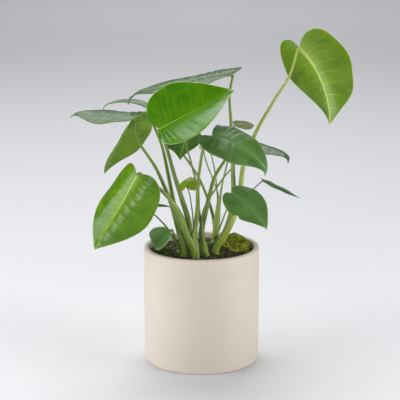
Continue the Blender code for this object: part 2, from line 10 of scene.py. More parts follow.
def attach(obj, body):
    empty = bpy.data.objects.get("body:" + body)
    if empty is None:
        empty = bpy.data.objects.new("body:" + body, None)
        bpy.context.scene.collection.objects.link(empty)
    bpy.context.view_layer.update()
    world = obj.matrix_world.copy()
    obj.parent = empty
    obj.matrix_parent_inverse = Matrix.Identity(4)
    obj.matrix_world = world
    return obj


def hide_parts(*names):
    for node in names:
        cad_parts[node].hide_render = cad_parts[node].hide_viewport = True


# A young monstera in its stoneware pot. Lengths in the dictionaries are in millimetres, angles in degrees.
# +Z is up, -Y faces the viewer, and the origin is the centre of the pot's underside.
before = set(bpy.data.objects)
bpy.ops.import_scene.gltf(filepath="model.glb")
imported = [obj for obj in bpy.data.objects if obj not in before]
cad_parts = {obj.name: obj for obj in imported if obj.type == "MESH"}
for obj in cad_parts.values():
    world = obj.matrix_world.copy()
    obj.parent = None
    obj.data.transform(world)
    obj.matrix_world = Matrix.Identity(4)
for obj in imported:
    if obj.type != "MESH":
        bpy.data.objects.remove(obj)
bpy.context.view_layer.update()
mm = 0.001
noise.seed_set(11)  # before its first use, because Blender seeds it from the clock
print("frame loaded:", len(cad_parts), "nodes")


def metres(point):
    return Vector(point) * mm


def clamp(value, low=0.0, high=1.0):
    return min(max(value, low), high)


def bell(distance, spread):
    return math.exp(-((distance / spread) ** 2))


def linear(hexColour):
    channels = [int(hexColour[i:i + 2], 16) / 255 for i in (1, 3, 5)]
    return [c / 12.92 if c <= 0.04045 else ((c + 0.055) / 1.055) ** 2.4 for c in channels] + [1.0]


def newMaterial(name, roughness, ior=1.45):
    material = bpy.data.materials.new(name)
    material.use_nodes = True
    shader = material.node_tree.nodes["Principled BSDF"]
    shader.inputs["Roughness"].default_value = roughness
    shader.inputs["IOR"].default_value = ior
    return material, shader


# settings that many nodes share
times = {"operation": "MULTIPLY"}
eased = {"interpolation_type": "SMOOTHSTEP"}
ofColours = {"data_type": "RGBA"}


# adds a node with its settings and gives its outputs; an input that is a socket is linked, and any other is set
def addNode(material, kind, inputs=(), **settings):
    made = material.node_tree.nodes.new("ShaderNode" + kind)
    for name, value in settings.items():
        setattr(made, name, value)
    for name, value in (inputs if isinstance(inputs, dict) else dict(enumerate(inputs))).items():
        if isinstance(value, bpy.types.NodeSocket):
            material.node_tree.links.new(value, made.inputs[name])
        else:
            made.inputs[name].default_value = value
    return made.outputs


# the inputs of a noise whose lumps have the size given in millimetres
def lumpInputs(point, size, detail):
    return {"Vector": point, "Scale": 1 / (size * mm), "Detail": detail, "Roughness": 0.6}


# links the colour to the shader, and the height as a relief of the depth given in millimetres
def dress(material, shader, colour, height, depth, strength=1.0):
    relief = addNode(material, "Bump", {"Height": height, "Strength": strength, "Distance": depth * mm})
    material.node_tree.links.new(colour, shader.inputs["Base Color"])
    material.node_tree.links.new(relief[0], shader.inputs["Normal"])


def finishPiece(name, bm, node, materials, smooth=True):
    mesh = bpy.data.meshes.new(name)
    bm.to_mesh(mesh)
    bm.free()
    for material in materials:
        mesh.materials.append(material)
    if smooth:
        mesh.shade_smooth()
    piece = bpy.data.objects.new(name, mesh)
    bpy.context.scene.collection.objects.link(piece)
    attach(piece, "root")
    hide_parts(node)
    return piece


# makes many small shapes in batches, because a bmesh operator slows down as its mesh grows
def scatter(bm, count, makeOne):
    batchSize = 80
    for start in range(0, count, batchSize):
        batch = bmesh.new()
        for _ in range(min(batchSize, count - start)):
            makeOne(batch)
        mesh = bpy.data.meshes.new("batch")
        batch.to_mesh(mesh)
        batch.free()
        bm.from_mesh(mesh)
        bpy.data.meshes.remove(mesh)


# camera at the photograph's place: 13 degrees down on the pot from a long lens
view = {"place": (-2, -1681, 610), "pitch": 13.35, "lens": 120.6}
lens = bpy.data.cameras.new("camera")
lens.lens = view["lens"]
lens.sensor_width = 36
camera = bpy.data.objects.new("camera", lens)
camera.location = metres(view["place"])
camera.rotation_euler = (math.radians(90 - view["pitch"]), 0, 0)
bpy.context.scene.collection.objects.link(camera)
bpy.context.scene.camera = camera
print("camera set")


# matt stoneware: a bare, smooth clay body with a soft even bloom and the faintest grit
pot = {
    "radius": 75, "height": 151, "wall": 7, "floor": 9, "rimRounding": 3, "footRounding": 2,
    "steps": 160, "clay": "#cfc5ba", "warmClay": "#c6baad", "grit": "#bfb1a1", "roughness": 0.5, "ior": 1.5,
    "cloudSize": 60, "gritSize": 0.9, "gritShare": 0.35, "poreSize": 1.2, "poreDepth": 0.05,
}


def makePotMaterial():
    material, shader = newMaterial("matt stoneware", pot["roughness"], pot["ior"])
    add = partial(addNode, material)
    point = add("TexCoord")["Object"]
    clouds = add("TexNoise", lumpInputs(point, pot["cloudSize"], 2))[0]
    body = add("Mix", {0: clouds, 6: linear(pot["clay"]), 7: linear(pot["warmClay"])}, **ofColours)[2]
    grit = add("TexNoise", lumpInputs(point, pot["gritSize"], 1))[0]
    specks = add("MapRange", (grit, 0.68, 0.78, 0, pot["gritShare"]), **eased)[0]
    colour = add("Mix", {0: specks, 6: body, 7: linear(pot["grit"])}, **ofColours)[2]
    pores = add("TexNoise", lumpInputs(point, pot["poreSize"], 4))[0]
    dress(material, shader, colour, pores, pot["poreDepth"], 0.5)
    return material


def makePot():
    outer, inner = pot["radius"], pot["radius"] - pot["wall"]
    corners = [(0, pot["floor"]), (inner, pot["floor"]), (inner, pot["height"]), (outer, pot["height"]),
               (outer, 0), (0, 0)]
    bm = bmesh.new()
    profile = [bm.verts.new((radius * mm, 0, height * mm)) for radius, height in corners]
    edges = [bm.edges.new(pair) for pair in zip(profile, profile[1:])]
    bmesh.ops.spin(bm, geom=profile + edges, axis=(0, 0, 1), cent=(0, 0, 0), angle=2 * math.pi,
                   steps=pot["steps"], use_merge=True)
    bmesh.ops.remove_doubles(bm, verts=bm.verts, dist=0.001 * mm)

    def ring(radius, height):
        return [edge for edge in bm.edges if all(
            abs(math.hypot(*v.co.xy) - radius * mm) < 0.1 * mm and abs(v.co.z - height * mm) < 0.1 * mm
            for v in edge.verts)]

    rim = ring(inner, pot["height"]) + ring(outer, pot["height"])
    bmesh.ops.bevel(bm, geom=rim, offset=pot["rimRounding"] * mm, offset_type="OFFSET", segments=6,
                    profile=0.5, affect="EDGES", material=-1)
    bmesh.ops.bevel(bm, geom=ring(outer, 0), offset=pot["footRounding"] * mm, offset_type="OFFSET",
                    segments=4, profile=0.5, affect="EDGES", material=-1)
    bmesh.ops.recalc_face_normals(bm, faces=bm.faces)
    piece = finishPiece("stoneware_pot", bm, "pot", [makePotMaterial()])
    piece.data.set_sharp_from_angle(angle=math.radians(50))


makePot()
print("pot turned")


# damp peat with bits of bark: near black peat and brown bark in random patches, and green with young moss in
# spots
soil = {
    "top": 142, "radius": 67.7, "depth": 14, "mound": 1.5, "rings": 70, "sectors": 180,
    "lumps": [(13, 1.3), (4.5, 0.9), (1.9, 0.5)],  # (size, height)
    "crumbs": 520, "crumbSize": (0.7, 1.5), "crumbReach": 65, "seed": 5,
    "peat": "#1c1511", "bark": "#57402c", "film": "#5a661c", "roughness": 0.85,
    "barkSize": 5, "filmSize": 11, "filmShare": 0.8, "grainSize": 1.5, "grainDepth": 0.6,
}

# where each shoot's crown stands in the soil: (x, y, radius)
crownSpots = {
    "shoot_front": (-7, -31, 7.2), "shoot_front_left": (-22, -26, 6.2), "shoot_front_right": (6, -22, 6.0),
    "shoot_right": (18, -14, 5.8), "shoot_back": (17, 42, 6.4), "shoot_left": (-29, -7, 4.4),
}


def soilHeight(x, y):
    flat = Vector((x, y, 0))
    mound = soil["mound"] * math.cos(math.pi / 2 * clamp(flat.length / soil["radius"]))
    return soil["top"] + mound + sum(height * noise.noise(flat / size) for size, height in soil["lumps"])


def makeSoilMaterial():
    material, shader = newMaterial("damp peat and bark", soil["roughness"])
    add = partial(addNode, material)
    point = add("TexCoord")["Object"]
    bits = add("TexNoise", lumpInputs(point, soil["barkSize"], 5))[0]
    bits = add("MapRange", (bits, 0.42, 0.72, 0, 1), **eased)[0]
    body = add("Mix", {0: bits, 6: linear(soil["peat"]), 7: linear(soil["bark"])}, **ofColours)[2]
    spots = add("TexNoise", lumpInputs(point, soil["filmSize"], 5))[0]
    spots = add("MapRange", (spots, 0.48, 0.6, 0, soil["filmShare"]), **eased)[0]
    colour = add("Mix", {0: spots, 6: body, 7: linear(soil["film"])}, **ofColours)[2]
    grain = add("TexNoise", lumpInputs(point, soil["grainSize"], 6))[0]
    dress(material, shader, colour, grain, soil["grainDepth"], 0.9)
    return material


# a rounded bit of bark or peat, half sunk in the soil
def addCrumb(bm):
    angle, reach = random.uniform(0, 2 * math.pi), soil["crumbReach"] * math.sqrt(random.random())
    x, y = reach * math.cos(angle), reach * math.sin(angle)
    size = random.uniform(*soil["crumbSize"]) * random.choice((1, 1, 1.6))
    stretch = Matrix.Diagonal((random.uniform(0.8, 1.9), random.uniform(0.7, 1.2), random.uniform(0.4, 0.8)))
    turn = Euler([random.uniform(-0.5, 0.5), random.uniform(-0.5, 0.5), random.uniform(0, 6.3)]).to_matrix()
    place = Matrix.Translation(metres((x, y, soilHeight(x, y) + 0.2 * size)))
    lump = bmesh.ops.create_icosphere(bm, subdivisions=1, radius=size * mm,
                                      matrix=place @ (turn @ stretch).to_4x4())
    for vertex in lump["verts"]:
        vertex.co += metres(noise.noise_vector(vertex.co / (2 * mm))) * 0.4 * size


def makeSoil():
    rings, sectors = soil["rings"], soil["sectors"]
    bm = bmesh.new()
    grid = bmesh.ops.create_grid(bm, x_segments=rings + 2, y_segments=sectors, size=1)
    for vertex in grid["verts"]:
        ring = round((vertex.co.x + 1) / 2 * (rings + 2))
        angle = vertex.co.y * math.pi
        radius = soil["radius"] * clamp(ring / rings) if ring <= rings + 1 else 0
        x, y = radius * math.cos(angle), radius * math.sin(angle)
        z = soilHeight(x, y) if ring <= rings else soil["top"] - soil["depth"]
        vertex.co = metres((x, y, z))
    bmesh.ops.remove_doubles(bm, verts=bm.verts, dist=0.01 * mm)
    random.seed(soil["seed"])
    scatter(bm, soil["crumbs"], addCrumb)
    bmesh.ops.recalc_face_normals(bm, faces=bm.faces)
    finishPiece("peat_and_bark", bm, "soil", [makeSoilMaterial()])


makeSoil()
print("soil filled")


# cushion moss: thousands of short tips, coloured in random patches with painted light and shade: a painted
# highlight in the light colour on some tips, and painted shade in the brown-black dark colour between tufts
mossCushions = {
    "moss_right": {"centre": (45, 18), "half": (16, 28), "turn": 20, "height": 17, "seed": 3, "tips": 2600,
                   "tip": (1.6, 3.6), "light": "#dfe054", "mid": "#b2b840", "dark": "#555a22"},
    "moss_left": {"centre": (-48, -5), "half": (10, 25), "turn": 6, "height": 4, "seed": 8, "tips": 1100,
                  "tip": (1.2, 2.6), "light": "#7f9438", "mid": "#46591f", "dark": "#1c2410"},
}
# of both: stray is how far a tip leans off the cushion's outward direction, and sunk how deep its foot stands
mossTips = {
    "footRadius": 0.45, "endRadius": 0.06, "stray": 0.45, "sunk": 1.6,
    "tuftSize": 3, "patchSize": 14, "grainSize": 1, "grainDepth": 0.5, "roughness": 0.85,
}


def makeMossMaterial(name, look):
    material, shader = newMaterial(name, mossTips["roughness"])
    add = partial(addNode, material)
    point = add("TexCoord")["Object"]
    tufts = add("TexNoise", lumpInputs(point, mossTips["tuftSize"], 3))[0]
    tufts = add("MapRange", (tufts, 0.36, 0.62, 0, 1), **eased)[0]
    patches = add("TexNoise", lumpInputs(point, mossTips["patchSize"], 2))[0]
    patches = add("MapRange", (patches, 0.4, 0.65, 0, 1), **eased)[0]
    # painted shade: the dark colour fills the gaps between tufts; painted highlight: the light colour lies on
    # the tufts inside the patches
    body = add("Mix", {0: tufts, 6: linear(look["dark"]), 7: linear(look["mid"])}, **ofColours)[2]
    bright = add("Math", (patches, tufts), **times)[0]
    colour = add("Mix", {0: bright, 6: body, 7: linear(look["light"])}, **ofColours)[2]
    grain = add("TexNoise", lumpInputs(point, mossTips["grainSize"], 4))[0]
    dress(material, shader, colour, grain, mossTips["grainDepth"])
    return material


def mossPoint(look, direction):
    x, y, z = direction
    halfX, halfY = look["half"]
    angle = math.atan2(y, x)
    uneven = 1 + 0.06 * math.sin(3 * angle + look["seed"]) + 0.04 * math.sin(5 * angle)
    lump = 1 + 0.22 * noise.noise(Vector((2.2 * x, 2.2 * y, look["seed"])))
    rise = look["height"] * z ** 0.8 * lump if z > 0 else -3.8 * min(1, -4 * z)
    turn = Matrix.Rotation(math.radians(look["turn"]), 3, "Z")
    flat = turn @ Vector((halfX * x * uneven, halfY * y * uneven, rise))
    return Vector((look["centre"][0], look["centre"][1], soil["top"])) + flat


def makeMoss(node, look):
    bm = bmesh.new()
    ball = bmesh.ops.create_uvsphere(bm, u_segments=72, v_segments=40, radius=1)
    inside = Vector((look["centre"][0], look["centre"][1], soil["top"] - 3))
    for vertex in ball["verts"]:
        point = mossPoint(look, vertex.co)
        outward = (point - inside).normalized()
        uneven = 0.9 * noise.noise(point / 3.5) + 0.6 * noise.noise(point / 1.4)
        vertex.co = metres(point + outward * (uneven - 1))
    random.seed(look["seed"])

    def addTip(batch):
        angle, height = random.uniform(0, 2 * math.pi), random.random() ** 0.7
        across = math.sqrt(1 - height * height)
        root = mossPoint(look, (across * math.cos(angle), across * math.sin(angle), height))
        outward = (root - inside).normalized() + mossTips["stray"] * Vector(noise.random_unit_vector())
        length = random.uniform(*look["tip"])
        turn = outward.to_track_quat("Z", "Y").to_matrix().to_4x4()
        place = Matrix.Translation(metres(root + outward.normalized() * (length / 2 - mossTips["sunk"])))
        bmesh.ops.create_cone(batch, cap_ends=True, segments=4, radius1=mossTips["footRadius"] * mm,
                              radius2=mossTips["endRadius"] * mm, depth=length * mm, matrix=place @ turn)

    scatter(bm, look["tips"], addTip)
    bmesh.ops.recalc_face_normals(bm, faces=bm.faces)
    material = makeMossMaterial("cushion moss " + node, look)
    finishPiece(node + "_tufts", bm, node, [material], smooth=False)


for mossNode, mossLook in mossCushions.items():
    makeMoss(mossNode, mossLook)
print("moss laid")


# One entry per leaf. base is where the petiole meets the blade; head and pitch give the midrib's direction
# there, and roll turns the blade about it. fold is the slope of each half at the midrib, curl how far it turns
# down to the margin; arch, tip, twist and skew bend the midrib, tip only in its last fifth. lobe, lean, inner,
# full and drip shape the outline, and dents are (side, place along, spread, part of the half width). pucker is
# how far the blade swells between its side veins, and finish is its look in cuticles and undersides. petiole is
# the stalk's way up, foot and neck are its radii at the soil and under the blade, and tone is how yellow it is.
leaves = {
    "leaf_centre": dict(
        shoot="shoot_front", finish="fresh", base=(-52, -44, 312), head=11, pitch=27, roll=54,
        length=107, width=88, fold=29, curl=6, arch=11, tip=20, twist=-9, skew=3,
        lobe=0.06, inner=0.40, full=0.31, drip=0.02, pucker=0.2, veins=11,
        petiole=[(-9, -30, 152), (-14, -31, 166), (-16, -31, 189), (-25, -29, 220), (-35, -24, 251),
                 (-44, -15, 282), (-50, -22, 301)], foot=5.0, neck=1.9,
    ),
    "leaf_top_back": dict(
        shoot="shoot_right", tone=0.55, finish="mature", base=(37, 29, 372), head=166, pitch=-12, roll=-2,
        length=151, width=111, fold=8, curl=21, arch=5, tip=70, twist=-3, skew=-3,
        lobe=0.08, inner=0.26, full=0.38, drip=0.32, pucker=0.7, veins=12,
        petiole=[(19, -14, 151), (25, -13, 161), (34, -9, 180), (40, -4, 205), (41, 0, 226),
                 (40, 6, 256), (38, 16, 305), (36, 24, 345)], foot=4.6, neck=1.6,
    ),
    "leaf_left_back": dict(
        shoot="shoot_front_left", finish="mature", base=(-71, 26, 321), head=169, pitch=-6, roll=4,
        length=106, width=80, fold=1, curl=17, arch=-8, tip=58, twist=-14, skew=-8,
        lobe=0.07, inner=0.32, full=0.42, drip=0.24, pucker=0.65, veins=10,
        petiole=[(-21, -26, 152), (-27, -20, 170), (-34, -9, 201), (-43, 6, 243), (-52, 20, 280)],
        foot=4.2, neck=1.6,
    ),
    "leaf_left_hanging": dict(
        shoot="shoot_front_left", finish="golden", base=(-87, -30, 320), head=147, pitch=-55, roll=3,
        length=85, width=68, fold=-19, curl=16, arch=5, tip=24, twist=3, skew=1,
        lobe=0.18, inner=0.36, full=0.40, drip=0.37, veins=9,
        petiole=[(-21, -28, 152), (-30, -29, 181), (-40, -30, 218), (-56, -31, 257),
                 (-67, -31, 275), (-77, -31, 290), (-84, -31, 306)], foot=4.2, neck=1.6,
    ),
    "leaf_right_centre": dict(
        shoot="shoot_front", finish="deep", base=(13, -33, 302), head=-14, pitch=-6, roll=21,
        length=91, width=75, fold=11, curl=37, arch=59, tip=50, twist=5, skew=-7,
        lobe=0.10, lean=-0.8, inner=0.20, full=0.42, drip=0.29, pucker=0.35, veins=9,
        dents=[(1, 0.0, 0.10, 1.3)],
        petiole=[(-7, -31, 152), (-9, -31, 171), (-7, -32, 191), (-5, -32, 212), (-5, -32, 237),
                 (-2, -33, 263), (2, -33, 285)], foot=4.6, neck=1.6,
    ),
    "leaf_far_left": dict(
        shoot="shoot_back", finish="mature", base=(-66, 86, 314), head=168, pitch=31, roll=7,
        length=74, width=36, fold=11, curl=4, arch=59, tip=69, twist=-5, skew=0,
        lobe=0.16, inner=0.42, full=0.39, drip=0.38, veins=8,
        petiole=[(17, 43, 152), (17, 45, 165), (14, 49, 182), (6, 54, 206), (-6, 62, 231),
                 (-25, 73, 257), (-45, 81, 287)], foot=2.4, neck=1.1,
    ),
    "leaf_top_right": dict(
        shoot="shoot_right", tone=1.0, finish="sunlit", base=(123, 1, 407), head=32, pitch=-40, roll=-29,
        length=113, width=103, fold=60, curl=92, arch=55, tip=20, twist=-23, skew=13,
        lobe=0.08, inner=0.46, full=0.34, drip=-0.08, veins=11, dents=[(-1, 0.82, 0.10, 0.20)],
        petiole=[(19, -15, 151), (25, -16, 161), (36, -14, 180), (46, -10, 205), (50, -5, 229),
                 (54, 0, 258), (68, 4, 296), (92, 4, 340), (112, 2, 374)], foot=4.8, neck=1.5,
    ),
    "leaf_lower_right": dict(
        shoot="shoot_right", tone=0.8, finish="deep", base=(40, -54, 232), head=-39, pitch=-21, roll=23,
        length=64, width=52, fold=8, curl=24, arch=32, tip=20, twist=4, skew=-7,
        lobe=0.13, inner=0.24, full=0.43, drip=0.28, pucker=0.4, veins=8, dents=[(-1, 0.61, 0.04, -0.14)],
        petiole=[(18, -17, 151), (22, -22, 159), (31, -31, 177), (41, -42, 203)], foot=2.8, neck=1.4,
    ),
    "leaf_lower_left": dict(
        shoot="shoot_front", finish="golden", base=(-81, -58, 256), head=-174, pitch=-62, roll=-47,
        length=108, width=90, fold=-5, curl=52, arch=-2, tip=3, twist=-20, skew=-3,
        lobe=0.08, inner=0.39, full=0.42, drip=0.08, pucker=0.28, veins=11,
        petiole=[(-9, -33, 152), (-18, -39, 175), (-26, -45, 201), (-38, -50, 222), (-52, -54, 238)],
        foot=5.2, neck=2.1,
    ),
    "leaf_rim_left": dict(
        shoot="shoot_left", finish="deep", base=(-40, -51, 183), head=130, pitch=-36, roll=-101,
        length=47, width=38, fold=50, curl=10, arch=4, tip=18, twist=14, skew=14,
        lobe=0.09, inner=0.36, full=0.37, drip=0.23, veins=7,
        petiole=[(-29, -10, 150), (-32, -25, 162)], foot=2.0, neck=1.2,
    ),
    "leaf_under_centre": dict(
        shoot="shoot_front_right", finish="fresh", base=(-20, 15, 293), head=100, pitch=-35, roll=-5,
        length=60, width=47, fold=13, curl=20, arch=13, tip=25, twist=7, skew=3,
        lobe=0.11, inner=0.41, full=0.45, drip=0.60, veins=8,
        petiole=[(3, -22, 152), (-1, -10, 180), (-4, -4, 205), (-8, 2, 237), (-14, 6, 261), (-19, 10, 279)],
        foot=2.4, neck=1.0,
    ),
    "leaf_small_middle": dict(
        shoot="shoot_front", finish="sunlit", base=(-19, 20, 227), head=84, pitch=40, roll=-8,
        length=32, width=36, fold=-24, curl=12, arch=70, tip=15, twist=0, skew=-6,
        lobe=0.22, inner=0.40, full=0.40, drip=0.30, veins=5,
        petiole=[(-7, -29, 152), (-10, -14, 174), (-12, 0, 195), (-15, 12, 213)], foot=1.2, neck=0.8,
    ),
    "leaf_right_back": dict(
        shoot="shoot_front_right", finish="mature", base=(51, 56, 278), head=-28, pitch=-3, roll=-1,
        length=80, width=64, fold=0, curl=21, arch=19, tip=104, twist=-1, skew=-4,
        lobe=0.18, inner=0.42, full=0.40, drip=0.36, pucker=0.45, veins=9,
        petiole=[(4, -22, 152), (0, -10, 169), (5, 6, 192), (11, 19, 215), (17, 31, 234), (29, 41, 252)],
        foot=4.6, neck=1.7,
    ),
    "leaf_small_right": dict(
        shoot="shoot_back", finish="pale", base=(45, 61, 300), head=-38, pitch=11, roll=-38,
        length=37, width=22, fold=-2, curl=23, arch=23, tip=17, twist=-9, skew=-10,
        lobe=0.08, inner=0.37, full=0.45, drip=0.29, veins=5,
        petiole=[(18, 43, 152), (23, 45, 170), (24, 48, 190), (27, 51, 218), (34, 55, 248), (41, 59, 280)],
        foot=1.8, neck=0.9,
    ),
    "leaf_thin_right": dict(
        shoot="shoot_back", finish="mature", base=(82, 42, 228), head=5, pitch=-23, roll=1,
        length=55, width=30, fold=-2, curl=5, arch=10, tip=-11, twist=4, skew=2,
        lobe=0.06, inner=0.41, full=0.41, drip=0.33, veins=6,
        petiole=[(18, 42, 151), (22, 42, 158), (27, 42, 171), (35, 42, 190), (51, 42, 204), (68, 42, 216)],
        foot=1.6, neck=0.8,
    ),
    "leaf_behind_left": dict(
        shoot="shoot_left", finish="mature", base=(-68, -20, 207), head=10, pitch=6, roll=-25,
        length=28, width=20, fold=12, curl=15, arch=15, tip=20, twist=0, skew=0,
        lobe=0.10, inner=0.40, full=0.40, drip=0.30, veins=4,
        petiole=[(-29, -8, 150), (-34, -11, 159), (-43, -14, 176), (-57, -18, 193)], foot=1.7, neck=1.0,
    ),
    "leaf_behind_right": dict(
        shoot="shoot_front_right", finish="mature", base=(52, 20, 268), head=40, pitch=12, roll=8,
        length=38, width=26, fold=14, curl=18, arch=32, tip=25, twist=0, skew=4,
        lobe=0.12, inner=0.40, full=0.40, drip=0.30, veins=4,
        petiole=[(4, -24, 152), (0, -12, 184), (3, -6, 200), (12, 1, 216), (30, 11, 240), (40, 14, 251)],
        foot=1.6, neck=1.0,
    ),
    "leaf_behind_centre": dict(
        shoot="shoot_back", finish="mature", base=(9, 41, 278), head=62, pitch=14, roll=-6,
        length=34, width=24, fold=14, curl=18, arch=30, tip=25, twist=0, skew=-4,
        lobe=0.12, inner=0.40, full=0.40, drip=0.30, veins=4,
        petiole=[(17, 42, 152), (21, 44, 181), (20, 42, 221), (15, 41, 253)], foot=1.5, neck=0.8,
    ),
    "leaf_behind_middle": dict(
        shoot="shoot_back", finish="sunlit", base=(3, 58, 267), head=42, pitch=16, roll=10,
        length=30, width=21, fold=14, curl=18, arch=30, tip=25, twist=0, skew=4,
        lobe=0.12, inner=0.40, full=0.40, drip=0.30, veins=4,
        petiole=[(18, 43, 152), (21, 47, 175), (22, 52, 206), (16, 54, 224), (7, 57, 247)],
        foot=1.5, neck=0.8,
    ),
}
blade = {
    "tipWidth": 0.012, "ribSteps": 24, "rowsPerVein": 9, "columns": 56, "smallColumns": 36, "smallWidth": 60,
    "fullHalfWidth": 30,  # a narrower blade swells and waves less
    "pucker": 0.17, "puckerMean": 0.65, "puckerSpread": 0.9, "veinValley": 0.2,
    "wave": 1.1, "waves": 2.3, "unevenness": 0.35,
    "thickness": 0.8, "marginThickness": 0.45, "ribThickness": 2.0, "ribSpread": 1.5,
    "ribGroove": 0.5, "grooveSpread": 1.3, "veinHeight": 0.35, "veinSpread": 0.07,
    "stalkTop": 7.5,  # the swollen top of the petiole, which is one piece with the blade
    "stalkOverlap": 1.5,  # how far the rest of the petiole runs into it
    "stalkSwell": (1.03, 1.1, 1.22, 1.28, 1.22, 1.05, 0.8, 0.45),  # its radius, as parts of the neck
    "stalkGrip": 0.13,  # how far it runs along the midrib, as a part of the blade's length
    "stalkDepths": (1.9, 1.45, 0.95),  # how deep it lies behind, at and past the blade's base, in necks
}


# the half width at x, from 0 at the rear of the lobes to 1 at the tip, as a part of the widest
def halfWidth(x, leaf):
    full = leaf["full"]
    if x < full:
        return leaf["inner"] + (1 - leaf["inner"]) * math.sqrt(max(1 - (1 - x / full) ** 2.2, 0))
    t = (x - full) / (1 - full)
    fall = max(math.cos(t * math.pi / 2), 0) ** 1.1 * (1 - leaf["drip"] * t * t * math.sin(math.pi * t))
    return fall * (1 - blade["tipWidth"]) + blade["tipWidth"]


# a point of one half of the flat blade; a line of equal along is the way of a side vein
def flatPoint(leaf, along, out, side):
    x = along ** 1.35
    lobe = leaf["lobe"] * (1 + leaf.get("lean", 0) * side)
    marginX = -lobe + (1 + lobe) * x
    ribX = along ** 2.1
    nearBase = clamp(1 - along / 0.35)
    sweep = out ** 1.25 + (1 - (1 - out) ** 2 - out ** 1.25) * nearBase
    width = halfWidth(x, leaf)
    for dentSide, place, spread, amount in leaf.get("dents", []):
        if dentSide == side:
            width *= 1 + amount * bell(along - place, spread)
    return ribX + (marginX - ribX) * sweep, width * out


def ribTurn(leaf, x):
    bend = math.radians(leaf["arch"] * x + leaf["tip"] * clamp((x - 0.8) / 0.2) ** 2)
    skew = math.radians(leaf["skew"] * x)
    twist = math.radians(leaf["twist"] * x)
    return Matrix.Rotation(bend, 3, "Y") @ Matrix.Rotation(skew, 3, "Z") @ Matrix.Rotation(twist, 3, "X")


def ribLine(leaf):
    step = leaf["length"] / blade["ribSteps"]
    line = [Vector((0, 0, 0))]
    for i in range(blade["ribSteps"]):
        line.append(line[-1] + ribTurn(leaf, (i + 0.5) / blade["ribSteps"]).col[0] * step)
    return line


def ribPoint(line, x):
    place = clamp(x) * blade["ribSteps"]
    i = min(int(place), blade["ribSteps"] - 1)
    return line[i].lerp(line[i + 1], place - i)


# counts the side veins along the midrib; they stand unevenly, and the left ones between the right ones
def veinPlace(leaf, along, side):
    uneven = 0.13 * math.sin(9 * along + 0.1 * leaf["base"][0] + side)
    return along * leaf["veins"] + uneven + 0.4 * (side > 0)


def veinDistance(leaf, along, side):
    place = veinPlace(leaf, along, side)
    return abs(place - round(place))


# a point of the upper face in the blade's own axes, +X along the midrib, +Y left and +Z up, in millimetres
def bladePoint(leaf, line, along, across):
    out, side = abs(across), math.copysign(1, across)
    u, v = flatPoint(leaf, along, out, side)
    half = leaf["width"] / 2
    slope = math.radians(leaf["fold"])
    bend = math.radians(leaf["curl"]) / half
    reach = v * half
    sideways = (math.sin(slope) - math.sin(slope - bend * reach)) / bend
    upward = (math.cos(slope - bend * reach) - math.cos(slope)) / bend
    size = min(half / blade["fullHalfWidth"], 1)
    pillow = 1 - 2 * bell(veinDistance(leaf, along, side), blade["veinValley"])
    patch = noise.noise(Vector((4 * along, 2.5 * across, leaf["base"][0])))
    pillow *= blade["puckerMean"] + blade["puckerSpread"] * patch
    upward += leaf.get("pucker", blade["pucker"]) * pillow * (4 * out * (1 - out)) ** 0.7 * size
    phase = leaf["base"][0] / 10 + 0.25 * side
    upward += blade["wave"] * math.sin(2 * math.pi * (blade["waves"] * along + phase)) * v * v * size
    upward += blade["unevenness"] * size * noise.noise(Vector((u * 4, v * 4 * side, leaf["base"][0]))) * out
    upward -= blade["ribGroove"] * (1 - along) * bell(reach, blade["grooveSpread"])
    behind = Vector((min(u, 0) * leaf["length"], 0, 0))
    return ribPoint(line, u) + behind + ribTurn(leaf, clamp(u)) @ Vector((0, side * sideways, upward))


def bladePlace(leaf):
    turn = Euler([math.radians(angle) for angle in (leaf["roll"], -leaf["pitch"], leaf["head"])])
    return Matrix.LocRotScale(Vector(leaf["base"]), turn, None)


# points every 1.5 mm or so along a smooth curve through the given ones
def smoothPath(points):
    path = [points[0]]
    for i in range(len(points) - 1):
        start, end = points[i], points[i + 1]
        before, after = points[max(i - 1, 0)], points[min(i + 2, len(points) - 1)]
        reach = (end - start).length / 3
        leave = (end - before).normalized() * reach
        arrive = (after - start).normalized() * reach
        count = max(3, round(reach * 2))
        path += geometry.interpolate_bezier(start, start + leave, end - arrive, end, count)[1:]
    return path


def lengthsAlong(path):
    total = [0.0]
    for i in range(1, len(path)):
        total.append(total[-1] + (path[i] - path[i - 1]).length)
    return total


def stretchOf(path, start, end, count):
    lengths = lengthsAlong(path)
    points = []
    for step in range(count + 1):
        distance = start + (end - start) * step / count
        i = next((k for k in range(1, len(path)) if lengths[k] >= distance), len(path) - 1)
        part = (distance - lengths[i - 1]) / max(lengths[i] - lengths[i - 1], 1e-9)
        points.append(path[i - 1].lerp(path[i], clamp(part)))
    return points


# the petiole's way from its crown to the underside of the midrib, and the length at which it meets the blade;
# it bends a little behind the blade's base, so that its end lies along the midrib and never over it
def petiolePath(leaf):
    footX, footY, _ = crownSpots[leaf["shoot"]]
    place, line, neck = bladePlace(leaf), ribLine(leaf), leaf["neck"]
    points = [Vector((footX, footY, soil["top"] - 7))] + [Vector(point) for point in leaf["petiole"]]
    bends = (Vector((-1.6 * neck, 0, 0)), line[0], ribPoint(line, blade["stalkGrip"]))
    for onRib, part in zip(bends, blade["stalkDepths"]):
        points.append(place @ (onRib - Vector((0, 0, blade["thickness"] / 2 + neck * part))))
    path = smoothPath(points)
    nearest = min(range(len(path)), key=lambda i: (path[i] - points[-2]).length)
    return path, lengthsAlong(path)[nearest]


